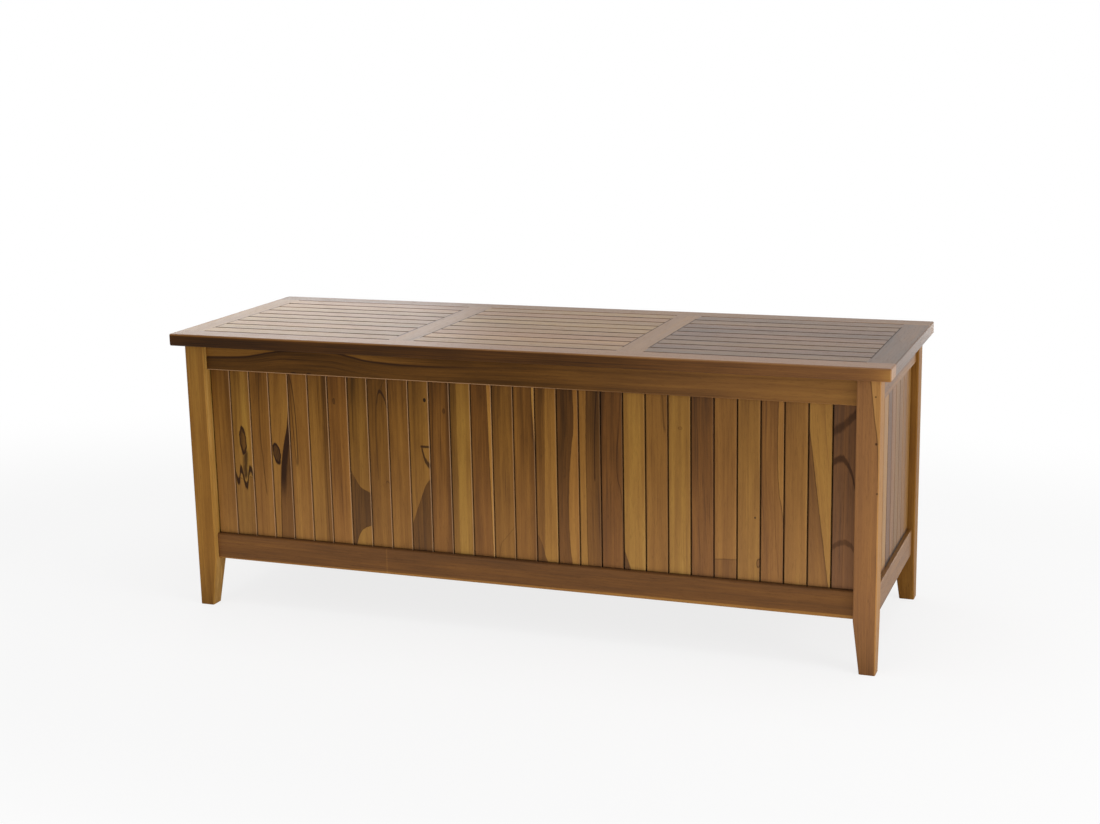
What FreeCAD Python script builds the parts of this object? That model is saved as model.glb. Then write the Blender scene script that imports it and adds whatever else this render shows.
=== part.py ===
import FreeCAD, Part
import os
from math import asin, atan2, cos, degrees, floor, hypot, pi, radians, sin, sqrt
from FreeCAD import Vector

# Slatted hardwood garden chest with a hinged lid.
# X runs along the chest, Y from front to back, Z up. The origin is on the ground, under the middle
# of the lid. All sizes are in millimetres.

# Overall size
lid_length = 1500.0
lid_depth = 520.0
chest_height = 595.0
lid_overhang = 22.0            # lid past the posts at the front and at both ends
foot_height = 104.0            # ground to the bottom rails

# Posts
post_size = 44.0
foot_size = 31.0               # side of the square foot at the ground
post_easing = 2.0

# Rails between the posts
top_rail_height = 54.0
bottom_rail_height = 54.0
rail_thickness = 24.0
rail_easing = 1.5
front_rail_recess = 12.0       # rail face behind the post face
side_rail_recess = 6.0
rear_rail_recess = 0.0         # flush, so that the hinges reach the rear top rail

# Mortise and tenon joints
tenon_thickness = 10.0
tenon_shoulder = 8.0
tenon_web = 3.0                # wood left between two tenons in one post
mortise_end_room = 1.0
joint_play = 0.1

# Slats of the four walls, held in grooves in the rails
slat_width = 43.2
slat_thickness = 10.0
slat_least_gap = 2.0
slat_setback = 9.0             # slat face behind the rail face
slat_easing = 1.0
slat_groove_depth = 8.0
slat_top_room = 1.0
slat_groove_play = 0.2

# Floor
floor_board_width = 87.0
floor_board_thickness = 12.0
floor_least_gap = 5.0
floor_end_room = 1.0
floor_post_room = 2.0          # round the posts, where the end boards are notched
cleat_height = 20.0
cleat_depth = 20.0
cleat_lift = 4.0               # cleat above the lower edge of its rail

# Lid frame
lid_thickness = 25.0
lid_rail_width = 50.0
lid_stile_width = 54.0
lid_panel_count = 3
lid_easing = 2.0
lid_tenon_length = 25.0
lid_tenon_thickness = 9.0
lid_tenon_shoulder = 8.0

# Lid slats, held by tongues in grooves in the stiles
lid_slat_thickness = 15.0
tongue_thickness = 6.0
tongue_length = 7.0
tongue_end_room = 1.0

# Butt hinges
hinge_count = 3
hinge_length = 75.0
hinge_leaf_width = 24.0
hinge_leaf_thickness = 2.0
hinge_end_distance = 190.0     # lid end to the middle of the outer hinge
knuckle_radius = 4.0
knuckle_count = 3
knuckle_gap = 0.3
hinge_pin_radius = 2.0
hinge_pin_play = 0.05
bore_sides = 12                # flats in each bore that holds something round
hinge_wood_gap = 0.5           # knuckle behind the rear face of the wood
leaf_recess_play = 0.2
hinge_screw_count = 3
hinge_screw_spacing = 27.0

# Countersunk screws
screw_radius = 1.8
screw_head_radius = 3.6
screw_head_height = 1.9
screw_play = 0.06
screw_sides = 8                # flats round each screw and its hole
hinge_screw_length = 16.0
post_screw_length = 16.0
slat_screw_length = 11.0

# Telescopic lid struts. Both studs are at one distance from the hinge axis, so each half of a strut
# turns by half of the lid's angle and the two halves stay in line.
lid_open_angle = 95.0
stud_distance = 300.0          # hinge axis to each stud
upper_stud_drop = 14.0         # below the lid's underside
lower_stud_forward = 90.0      # in front of the hinge axis
stud_radius = 3.0
stud_head_across_flats = 9.0
stud_head_sides = 6
stud_head = 3.0
bracket_thickness = 2.5
bracket_end_radius = 12.0
bracket_flange_width = 24.0
bracket_flange_margin = 12.0
bracket_seat_height = 44.0     # of the post bracket, where it lies on the post
bracket_seat_spacing = 26.0    # between its two screws
bracket_slat_room = 1.0        # from the seat to the slats of the rear wall
eye_radius = 7.0
eye_proud = 0.5                # eye past the side of the cylinder, towards the bracket
eye_play = 0.05
eye_side_gap = 0.3
cylinder_radius = 7.5
cylinder_wall = 1.0
cylinder_end_length = 8.0      # solid plug at the closed end
gland_length = 10.0
gland_play = 0.1
rod_radius = 4.0
rod_free_length = 25.0         # upper stud to the gland with the lid shut
piston_radius = 6.3
piston_length = 8.0
piston_end_room = 4.0          # piston to the plug with the lid shut

angle_tolerance = 0.001         # between two directions that count as one, in radians

# Places that follow from the sizes
lid_front_y = -lid_depth / 2
lid_rear_y = lid_depth / 2
lid_half = lid_length / 2
lid_underside = chest_height - lid_thickness
body_half = lid_half - lid_overhang
body_front_y = lid_front_y + lid_overhang
body_rear_y = lid_rear_y
body_mid_y = (body_front_y + body_rear_y) / 2
clear_length = 2 * (body_half - post_size)
clear_depth = body_rear_y - body_front_y - 2 * post_size
post_inner_x = body_half - post_size
bottom_rail_top = foot_height + bottom_rail_height
top_rail_bottom = lid_underside - top_rail_height
tenon_length = post_size - side_rail_recess - (rail_thickness + tenon_thickness) / 2 - tenon_web
floor_underside = foot_height + cleat_lift + cleat_height
hinge_axis_y = body_rear_y + hinge_wood_gap + knuckle_radius
hinge_axis_z = lid_underside
lid_slat_underside = chest_height - lid_slat_thickness


def wall_frame(turn, x, y, clear, recess):
    # A wall is modelled with X along it and Y inward from the outer faces of its posts
    return {"turn": turn, "at": Vector(x, y, 0), "clear": clear, "recess": recess}


walls = {
    "front": wall_frame(0, 0, body_front_y, clear_length, front_rail_recess),
    "rear": wall_frame(180, 0, body_rear_y, clear_length, rear_rail_recess),
    "left": wall_frame(-90, -body_half, body_mid_y, clear_depth, side_rail_recess),
    "right": wall_frame(90, body_half, body_mid_y, clear_depth, side_rail_recess),
}
rail_levels = {"bottom": (foot_height, bottom_rail_top), "top": (top_rail_bottom, lid_underside)}


def block(x0, x1, y0, y1, z0, z1):
    return Part.makeBox(x1 - x0, y1 - y0, z1 - z0, Vector(x0, y0, z0))


def board(x0, x1, y0, y1, z0, z1, axis, easing, side=None):
    # Eased along axis, on all four edges or on the two that lie on the given side
    blank = block(x0, x1, y0, y1, z0, z1)
    edges = [edge for edge in blank.Edges if edge.tangentAt(0).cross(axis).Length < angle_tolerance]
    if side:
        edges = [edge for edge in edges if (edge.CenterOfMass - blank.CenterOfMass).dot(side) > 0]
    return blank.makeChamfer(easing, edges)


def rod_along_x(x0, x1, y, z, radius):
    return Part.makeCylinder(radius, x1 - x0, Vector(x0, y, z), Vector(1, 0, 0))


def prism(sides, radius, z0, z1):
    # Round the Z axis, with its flats at the radius
    return flat_face(ring(sides, radius / cos(pi / sides), z0)).extrude(Vector(0, 0, z1 - z0))


def prism_along_x(sides, radius, x0, x1, y, z):
    bar = prism(sides, radius, 0, x1 - x0)
    bar.rotate(Vector(0, 0, 0), Vector(0, 1, 0), 90)
    bar.translate(Vector(x0, y, z))
    return bar


def even_gaps(room, width, least_gap):
    # As many pieces as fit in the room, with equal gaps between them and at both ends
    count = floor((room - least_gap) / (width + least_gap))
    return count, (room - count * width) / (count + 1)


def centres_with_gaps(room, width, least_gap):
    count, gap = even_gaps(room, width, least_gap)
    return [-room / 2 + gap + width / 2 + i * (width + gap) for i in range(count)]


def mirrored(shape):
    return shape.mirror(Vector(0, 0, 0), Vector(1, 0, 0))


def placed(shape, wall):
    copy = shape.copy()
    copy.rotate(Vector(0, 0, 0), Vector(0, 0, 1), wall["turn"])
    copy.translate(wall["at"])
    return copy


def ring(sides, radius, z):
    # Corners of a regular outline round the Z axis
    turns = [FreeCAD.Rotation(Vector(0, 0, 1), 360 * i / sides) for i in range(sides)]
    return [turn.multVec(Vector(radius, 0, z)) for turn in turns]


def flat_face(corners):
    return Part.Face(Part.makePolygon(corners + corners[:1]))


def solid_between(lower, upper):
    # Solid with flat sides between two outlines that have the same number of corners
    faces = [flat_face(lower), flat_face(upper)]
    for i in range(len(lower)):
        faces.append(flat_face([lower[i - 1], lower[i], upper[i], upper[i - 1]]))
    return Part.makeSolid(Part.makeShell(faces))


def screw(length, grow=0.0):
    # Countersunk screw, head up at Z = 0 and shank down
    tip = ring(screw_sides, screw_radius + grow, -length - grow)
    neck = ring(screw_sides, screw_radius + grow, -screw_head_height - grow)
    top = ring(screw_sides, screw_head_radius + grow, 0)
    return solid_between(tip, neck).fuse(solid_between(neck, top))


def screw_at(point, direction, length, grow=0.0):
    # direction is the way the head faces
    copy = screw(length, grow)
    copy.Placement = FreeCAD.Placement(point, FreeCAD.Rotation(Vector(0, 0, 1), direction))
    return copy


# Posts

def eased_square(size, z):
    # Square outline with eased corners, from its own corner at the origin towards +X and +Y
    near = post_easing
    far = size - post_easing
    corners = [
        (near, 0), (far, 0), (size, near), (size, far), (far, size), (near, size), (0, far), (0, near),
    ]
    return [Vector(x, y, z) for x, y in corners]


def post_blank():
    # Outer corner at the origin, wood towards +X and +Y. The foot tapers on the two inner faces only.
    knee = eased_square(post_size, foot_height)
    shaft = solid_between(knee, eased_square(post_size, lid_underside))
    foot = solid_between(eased_square(foot_size, 0), knee)
    return shaft.fuse(foot).removeSplitter()


def tenon_box(wall, level, end, play=0.0, room=0.0):
    z0, z1 = rail_levels[level]
    middle = wall["recess"] + rail_thickness / 2
    start = wall["clear"] / 2
    low, high = sorted((end * start, end * (start + tenon_length + room)))
    return block(
        low, high,
        middle - tenon_thickness / 2 - play, middle + tenon_thickness / 2 + play,
        z0 + tenon_shoulder - play, z1 - tenon_shoulder + play,
    )


def all_mortises():
    cutters = []
    for wall in walls.values():
        for level in rail_levels:
            for end in (-1, 1):
                cutters.append(placed(tenon_box(wall, level, end, joint_play, mortise_end_room), wall))
    return cutters


def post_plate_screws(grow=0.0):
    # Screws of the post bracket, into the inner face of the right rear post
    found = []
    for z in (lower_stud_z - bracket_seat_spacing / 2, lower_stud_z + bracket_seat_spacing / 2):
        head = Vector(plate_inner_x, (bracket_seat_front + bracket_seat_rear) / 2, z)
        found.append(screw_at(head, Vector(-1, 0, 0), post_screw_length, grow))
    return found


def make_posts():
    cutters = all_mortises()
    holes = post_plate_screws(screw_play)
    cutters += holes + [mirrored(hole) for hole in holes]
    posts = {}
    for side, sx in (("left", 1), ("right", -1)):
        for end, sy in (("front", 1), ("rear", -1)):
            post = post_blank()
            if sx < 0:
                post = post.mirror(Vector(0, 0, 0), Vector(1, 0, 0))
            if sy < 0:
                post = post.mirror(Vector(0, 0, 0), Vector(0, 1, 0))
            post.translate(Vector(-sx * body_half, body_front_y if sy > 0 else body_rear_y, 0))
            posts["post_%s_%s" % (end, side)] = post.cut(cutters)
    return posts


# Rails and slats of the walls

def rail(wall, level):
    z0, z1 = rail_levels[level]
    half = wall["clear"] / 2
    y0 = wall["recess"]
    body = board(-half, half, y0, y0 + rail_thickness, z0, z1, Vector(1, 0, 0), rail_easing)
    groove_y = y0 + slat_setback - slat_groove_play
    groove_width = slat_thickness + 2 * slat_groove_play
    if level == "bottom":
        groove = block(-half, half, groove_y, groove_y + groove_width, z1 - slat_groove_depth, z1)
    else:
        groove = block(-half, half, groove_y, groove_y + groove_width, z0, z0 + slat_groove_depth)
    tenons = [tenon_box(wall, level, end) for end in (-1, 1)]
    return body.cut(groove).fuse(tenons).removeSplitter()


def wall_slats(wall):
    bottom = bottom_rail_top - slat_groove_depth
    top = top_rail_bottom + slat_groove_depth - slat_top_room
    y0 = wall["recess"] + slat_setback
    slats = []
    for x in centres_with_gaps(wall["clear"], slat_width, slat_least_gap):
        slats.append(board(
            x - slat_width / 2, x + slat_width / 2, y0, y0 + slat_thickness, bottom, top,
            Vector(0, 0, 1), slat_easing, Vector(0, -1, 0),
        ))
    return Part.makeCompound(slats)


def rear_rail_with_hinge_recesses(shape):
    cutters = []
    for x in hinge_places():
        cutters.append(leaf_recess(x, -1))
        cutters += hinge_screws_at(x, -1, screw_play)
    return shape.cut(cutters)


# Floor

def floor_cleat(wall):
    y0 = wall["recess"] + rail_thickness
    half = wall["clear"] / 2 - floor_end_room
    z0 = foot_height + cleat_lift
    return board(-half, half, y0, y0 + cleat_depth, z0, z0 + cleat_height, Vector(1, 0, 0), rail_easing)


def floor_boards():
    y0 = body_front_y + front_rail_recess + rail_thickness + floor_end_room
    y1 = body_rear_y - rear_rail_recess - rail_thickness - floor_end_room
    z0 = floor_underside
    z1 = floor_underside + floor_board_thickness
    half = floor_board_width / 2
    clear_x = post_inner_x - floor_post_room
    clear_front = body_front_y + post_size + floor_post_room
    clear_rear = body_rear_y - post_size - floor_post_room
    notches = []
    for side in (-1, 1):
        x0, x1 = sorted((side * clear_x, side * body_half))
        notches.append(block(x0, x1, body_front_y, clear_front, z0, z1))
        notches.append(block(x0, x1, clear_rear, body_rear_y, z0, z1))
    boards = []
    room = 2 * (body_half - side_rail_recess - rail_thickness)
    for x in centres_with_gaps(room, floor_board_width, floor_least_gap):
        plank = board(x - half, x + half, y0, y1, z0, z1, Vector(0, 1, 0), slat_easing, Vector(0, 0, 1))
        boards.append(plank.cut(notches) if abs(x) + half > clear_x else plank)
    return Part.makeCompound(boards)


# Lid

def stile_left_edges():
    room = lid_length - (lid_panel_count + 1) * lid_stile_width
    pitch = lid_stile_width + room / lid_panel_count
    return [-lid_half + i * pitch for i in range(lid_panel_count + 1)]


def lid_tenon(x0, end, play=0.0, room=0.0):
    middle = lid_underside + lid_thickness / 2
    start = lid_depth / 2 - lid_rail_width
    low, high = sorted((end * start, end * (start + lid_tenon_length + room)))
    return block(
        x0 + lid_tenon_shoulder - play, x0 + lid_stile_width - lid_tenon_shoulder + play, low, high,
        middle - lid_tenon_thickness / 2 - play, middle + lid_tenon_thickness / 2 + play,
    )


def lid_rail(end):
    y0, y1 = sorted((end * lid_depth / 2, end * (lid_depth / 2 - lid_rail_width)))
    blank = block(-lid_half, lid_half, y0, y1, lid_underside, chest_height)
    inner_y = end * (lid_depth / 2 - lid_rail_width)
    outer = [edge for edge in blank.Edges if abs(edge.CenterOfMass.y - inner_y) > lid_easing]
    shape = blank.makeChamfer(lid_easing, outer)
    cutters = [lid_tenon(x0, end, joint_play, mortise_end_room) for x0 in stile_left_edges()]
    if end > 0:
        for x in hinge_places():
            cutters.append(leaf_recess(x, 1))
            cutters += hinge_screws_at(x, 1, screw_play)
    return shape.cut(cutters)


def tongue_groove(x, side):
    # Groove for the slat tongues in a stile's edge at x; side is +1 where the slats are to the right
    depth = tongue_length + tongue_end_room
    x0, x1 = sorted((x, x - side * depth))
    middle = (lid_slat_underside + chest_height) / 2
    half = tongue_thickness / 2 + slat_groove_play
    reach = lid_depth / 2 - lid_rail_width
    return block(x0, x1, -reach, reach, middle - half, middle + half)


def lid_stile(index):
    x0 = stile_left_edges()[index]
    x1 = x0 + lid_stile_width
    reach = lid_depth / 2 - lid_rail_width
    size = (x0, x1, -reach, reach, lid_underside, chest_height)
    if index == 0:
        shape = board(*size, Vector(0, 1, 0), lid_easing, Vector(-1, 0, 0))
    elif index == lid_panel_count:
        shape = board(*size, Vector(0, 1, 0), lid_easing, Vector(1, 0, 0))
    else:
        shape = block(*size)
    if index > 0:
        shape = shape.cut(tongue_groove(x0, -1))
    if index < lid_panel_count:
        shape = shape.cut(tongue_groove(x1, 1))
    return shape.fuse([lid_tenon(x0, end) for end in (-1, 1)]).removeSplitter()


def lid_slat_centres():
    return centres_with_gaps(lid_depth - 2 * lid_rail_width, slat_width, slat_least_gap)


def lid_slats(panel):
    x0 = stile_left_edges()[panel] + lid_stile_width
    x1 = stile_left_edges()[panel + 1]
    middle = (lid_slat_underside + chest_height) / 2
    holes = lid_bracket_screws(screw_play)
    holes += [mirrored(hole) for hole in holes]
    slats = []
    for y in lid_slat_centres():
        y0 = y - slat_width / 2
        y1 = y + slat_width / 2
        body = board(
            x0, x1, y0, y1, lid_slat_underside, chest_height, Vector(1, 0, 0), slat_easing, Vector(0, 0, 1))
        tongue = block(
            x0 - tongue_length, x1 + tongue_length, y0, y1,
            middle - tongue_thickness / 2, middle + tongue_thickness / 2,
        )
        slat = body.fuse(tongue).removeSplitter()
        near = [hole for hole in holes if hole.BoundBox.intersect(slat.BoundBox)]
        slats.append(slat.cut(near) if near else slat)
    return Part.makeCompound(slats)


# Hinges

def hinge_places():
    reach = lid_half - hinge_end_distance
    return [-reach + i * 2 * reach / (hinge_count - 1) for i in range(hinge_count)]


def leaf_recess(x, up):
    z0, z1 = sorted((lid_underside, lid_underside + up * hinge_leaf_thickness))
    half = hinge_length / 2 + leaf_recess_play
    depth = hinge_leaf_width + leaf_recess_play
    return block(x - half, x + half, body_rear_y - depth, body_rear_y, z0, z1)


def hinge_screws_at(x, up, grow=0.0):
    # up is +1 for the lid's leaf, whose heads face down, and -1 for the leaf on the rear rail
    y = body_rear_y - hinge_leaf_width / 2
    found = []
    for i in range(hinge_screw_count):
        place = x + (i - (hinge_screw_count - 1) / 2) * hinge_screw_spacing
        found.append(screw_at(Vector(place, y, lid_underside), Vector(0, 0, -up), hinge_screw_length, grow))
    return found


def knuckle_spans(x):
    width = (hinge_length - (knuckle_count - 1) * knuckle_gap) / knuckle_count
    start = x - hinge_length / 2
    return [(start + i * (width + knuckle_gap), start + i * (width + knuckle_gap) + width)
            for i in range(knuckle_count)]


def hinge_leaf(x, up):
    z0, z1 = sorted((lid_underside, lid_underside + up * hinge_leaf_thickness))
    plate_edge = hinge_axis_y - knuckle_radius - knuckle_gap
    half = hinge_length / 2
    plate = block(x - half, x + half, body_rear_y - hinge_leaf_width, plate_edge, z0, z1)
    own = 0 if up < 0 else 1
    parts = []
    for i, (x0, x1) in enumerate(knuckle_spans(x)):
        if i % 2 == own:
            parts.append(block(x0, x1, plate_edge, hinge_axis_y, z0, z1))
            parts.append(rod_along_x(x0, x1, hinge_axis_y, hinge_axis_z, knuckle_radius))
    bore = prism_along_x(
        bore_sides, hinge_pin_radius + hinge_pin_play, x - half, x + half, hinge_axis_y, hinge_axis_z,
    )
    leaf = plate.fuse(parts).removeSplitter()
    return leaf.cut([bore] + hinge_screws_at(x, up, screw_play))


def hinge_pin(x):
    half = hinge_length / 2
    return rod_along_x(x - half, x + half, hinge_axis_y, hinge_axis_z, hinge_pin_radius)


# Struts, modelled for the right side and mirrored for the left

upper_stud_y = hinge_axis_y - sqrt(stud_distance ** 2 - upper_stud_drop ** 2)
upper_stud_z = hinge_axis_z - upper_stud_drop
lower_stud_y = hinge_axis_y - lower_stud_forward
lower_stud_z = hinge_axis_z - sqrt(stud_distance ** 2 - lower_stud_forward ** 2)
strut_closed = hypot(upper_stud_y - lower_stud_y, upper_stud_z - lower_stud_z)
shut_angle = 2 * degrees(asin(strut_closed / (2 * stud_distance)))
strut_open = 2 * stud_distance * sin(radians((shut_angle + lid_open_angle) / 2))
strut_lean = degrees(atan2(lower_stud_y - upper_stud_y, upper_stud_z - lower_stud_z))
plate_inner_x = post_inner_x - bracket_thickness
bracket_seat_front = body_rear_y - post_size
bracket_seat_rear = body_rear_y - rear_rail_recess - slat_setback - slat_thickness - bracket_slat_room
eye_width = 2 * (cylinder_radius + eye_proud)
eye_middle_x = plate_inner_x - eye_side_gap - eye_width / 2
strut_end = eye_radius - cylinder_wall
plug_end = strut_end + cylinder_end_length


def stud(y, z):
    # Shank through the strut's eye, and a hexagonal head
    head_x = plate_inner_x - eye_width - 2 * eye_side_gap
    shank = rod_along_x(head_x, plate_inner_x, y, z, stud_radius)
    head = prism_along_x(stud_head_sides, stud_head_across_flats / 2, head_x - stud_head, head_x, y, z)
    return shank.fuse(head)


def post_bracket():
    # A seat on the post, and an arm that narrows to the stud in front of it
    half = bracket_seat_height / 2
    outline = [
        (lower_stud_y, -bracket_end_radius), (bracket_seat_front, -half), (bracket_seat_rear, -half),
        (bracket_seat_rear, half), (bracket_seat_front, half), (lower_stud_y, bracket_end_radius),
    ]
    points = [Vector(plate_inner_x, y, lower_stud_z + z) for y, z in outline]
    plate = flat_face(points).extrude(Vector(bracket_thickness, 0, 0))
    end = rod_along_x(plate_inner_x, post_inner_x, lower_stud_y, lower_stud_z, bracket_end_radius)
    shape = plate.fuse([end, stud(lower_stud_y, lower_stud_z)]).removeSplitter()
    return shape.cut(post_plate_screws(screw_play))


def bracket_slats():
    # The two lid slats that the upper stud lies between
    centres = lid_slat_centres()
    after = [y for y in centres if y > upper_stud_y]
    before = [y for y in centres if y <= upper_stud_y]
    return before[-1], after[0]


def lid_bracket_screws(grow=0.0):
    # Screws of the lid bracket, one up into each of its two slats
    middle = post_inner_x - (bracket_thickness + bracket_flange_width) / 2
    heads = [Vector(middle, y, lid_slat_underside - bracket_thickness) for y in bracket_slats()]
    return [screw_at(head, Vector(0, 0, -1), slat_screw_length, grow) for head in heads]


def lid_bracket():
    first, second = bracket_slats()
    flange = block(
        post_inner_x - bracket_flange_width, post_inner_x,
        first - bracket_flange_margin, second + bracket_flange_margin,
        lid_slat_underside - bracket_thickness, lid_slat_underside,
    )
    ear = block(
        plate_inner_x, post_inner_x, upper_stud_y - bracket_end_radius, upper_stud_y + bracket_end_radius,
        upper_stud_z, lid_slat_underside - bracket_thickness,
    )
    end = rod_along_x(plate_inner_x, post_inner_x, upper_stud_y, upper_stud_z, bracket_end_radius)
    shape = flange.fuse([ear, end, stud(upper_stud_y, upper_stud_z)]).removeSplitter()
    return shape.cut(lid_bracket_screws(screw_play))


def stood_in_strut(shape, y, z):
    # From the Z axis to the line of the strut through a stud
    shape.rotate(Vector(0, 0, 0), Vector(1, 0, 0), strut_lean)
    shape.translate(Vector(eye_middle_x, y, z))
    return shape


def eye(shape):
    sleeve = rod_along_x(-eye_width / 2, eye_width / 2, 0, 0, eye_radius)
    hole = prism_along_x(bore_sides, stud_radius + eye_play, -eye_width / 2, eye_width / 2, 0, 0)
    return shape.fuse(sleeve).removeSplitter().cut(hole)


def strut_cylinder():
    # Tube with a plug at its eye and a gland at its open end
    gland_end = strut_closed - rod_free_length
    shape = eye(Part.makeCylinder(cylinder_radius, gland_end - strut_end, Vector(0, 0, strut_end)))
    bore = prism(bore_sides, cylinder_radius - cylinder_wall, plug_end, gland_end - gland_length)
    gland = prism(bore_sides, rod_radius + gland_play, gland_end - gland_length, gland_end)
    return stood_in_strut(shape.cut([bore, gland]), lower_stud_y, lower_stud_z)


def strut_rod():
    # Rod with a piston at its inner end, down from its eye
    inner_end = plug_end + piston_end_room - strut_closed
    rod = Part.makeCylinder(rod_radius, -inner_end, Vector(0, 0, inner_end))
    piston = Part.makeCylinder(piston_radius, piston_length, Vector(0, 0, inner_end))
    return stood_in_strut(eye(rod.fuse(piston)), upper_stud_y, upper_stud_z)


def write(name, shape):
    shape.exportStep("parts/%s.step" % name)


def both_sides(name, shape):
    write("left_" + name, mirrored(shape))
    write("right_" + name, shape)


def main():
    os.makedirs("parts", exist_ok=True)
    for name, post in make_posts().items():
        write(name, post)
    for name, wall in walls.items():
        for level in rail_levels:
            shape = placed(rail(wall, level), wall)
            if name == "rear" and level == "top":
                shape = rear_rail_with_hinge_recesses(shape)
            write("%s_%s_rail" % (name, level), shape)
        write("%s_slats" % name, placed(wall_slats(wall), wall))
    for name in ("front", "rear"):
        write("%s_floor_cleat" % name, placed(floor_cleat(walls[name]), walls[name]))
    write("floor_boards", floor_boards())

    write("lid_front_rail", lid_rail(-1))
    write("lid_rear_rail", lid_rail(1))
    for i in range(lid_panel_count + 1):
        write("lid_stile_%d" % (i + 1), lid_stile(i))
    for i in range(lid_panel_count):
        write("lid_slats_%d" % (i + 1), lid_slats(i))

    frame_screws = []
    lid_screws = []
    for i, x in enumerate(hinge_places()):
        write("hinge_%d_frame_leaf" % (i + 1), hinge_leaf(x, -1))
        write("hinge_%d_lid_leaf" % (i + 1), hinge_leaf(x, 1))
        write("hinge_%d_pin" % (i + 1), hinge_pin(x))
        frame_screws += hinge_screws_at(x, -1)
        lid_screws += hinge_screws_at(x, 1)
    write("hinge_frame_screws", Part.makeCompound(frame_screws))
    write("hinge_lid_screws", Part.makeCompound(lid_screws))

    both_sides("strut_cylinder", strut_cylinder())
    both_sides("strut_rod", strut_rod())
    both_sides("strut_post_bracket", post_bracket())
    both_sides("strut_lid_bracket", lid_bracket())
    both_sides("post_bracket_screws", Part.makeCompound(post_plate_screws()))
    both_sides("lid_bracket_screws", Part.makeCompound(lid_bracket_screws()))
    print("strut %.1f shut, %.1f open, stroke %.1f" % (strut_closed, strut_open, strut_open - strut_closed))


main()
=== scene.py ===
from math import cos, radians, sin

import bmesh
import bpy
from mathutils import Matrix, Vector


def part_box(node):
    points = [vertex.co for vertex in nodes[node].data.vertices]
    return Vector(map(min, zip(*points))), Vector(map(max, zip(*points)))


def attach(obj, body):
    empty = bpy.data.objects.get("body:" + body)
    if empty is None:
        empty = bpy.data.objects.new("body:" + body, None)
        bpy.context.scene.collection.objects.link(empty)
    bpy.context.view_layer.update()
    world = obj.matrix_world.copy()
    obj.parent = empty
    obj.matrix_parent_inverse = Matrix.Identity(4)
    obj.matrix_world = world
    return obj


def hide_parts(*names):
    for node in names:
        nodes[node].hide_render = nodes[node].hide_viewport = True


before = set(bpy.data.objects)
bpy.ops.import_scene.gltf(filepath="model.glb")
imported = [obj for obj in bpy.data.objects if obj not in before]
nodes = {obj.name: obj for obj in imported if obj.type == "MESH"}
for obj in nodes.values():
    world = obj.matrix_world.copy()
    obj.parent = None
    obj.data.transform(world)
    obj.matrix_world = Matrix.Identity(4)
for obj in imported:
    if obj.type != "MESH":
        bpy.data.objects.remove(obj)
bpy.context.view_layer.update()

print("frame loaded,", len(nodes), "nodes")


# Shader arithmetic

class Wire:
    # One output of a shader node, used like a number or a vector
    def __init__(self, shader, output):
        self.shader = shader
        self.output = output

    def join(self, operation, first, second):
        vectors = [v for v in (first, second) if isinstance(v, Wire) and v.output.type == "VECTOR"]
        kind = "ShaderNodeVectorMath" if vectors else "ShaderNodeMath"
        return self.shader.add(kind, {"operation": operation}, {0: first, 1: second})

    def __add__(self, other):
        return self.join("ADD", self, other)

    def __radd__(self, other):
        return self.join("ADD", other, self)

    def __sub__(self, other):
        return self.join("SUBTRACT", self, other)

    def __rsub__(self, other):
        return self.join("SUBTRACT", other, self)

    def __mul__(self, other):
        return self.join("MULTIPLY", self, other)

    def __rmul__(self, other):
        return self.join("MULTIPLY", other, self)

    def __truediv__(self, other):
        return self.join("DIVIDE", self, other)

    def __neg__(self):
        return self.join("MULTIPLY", self, -1.0)


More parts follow.
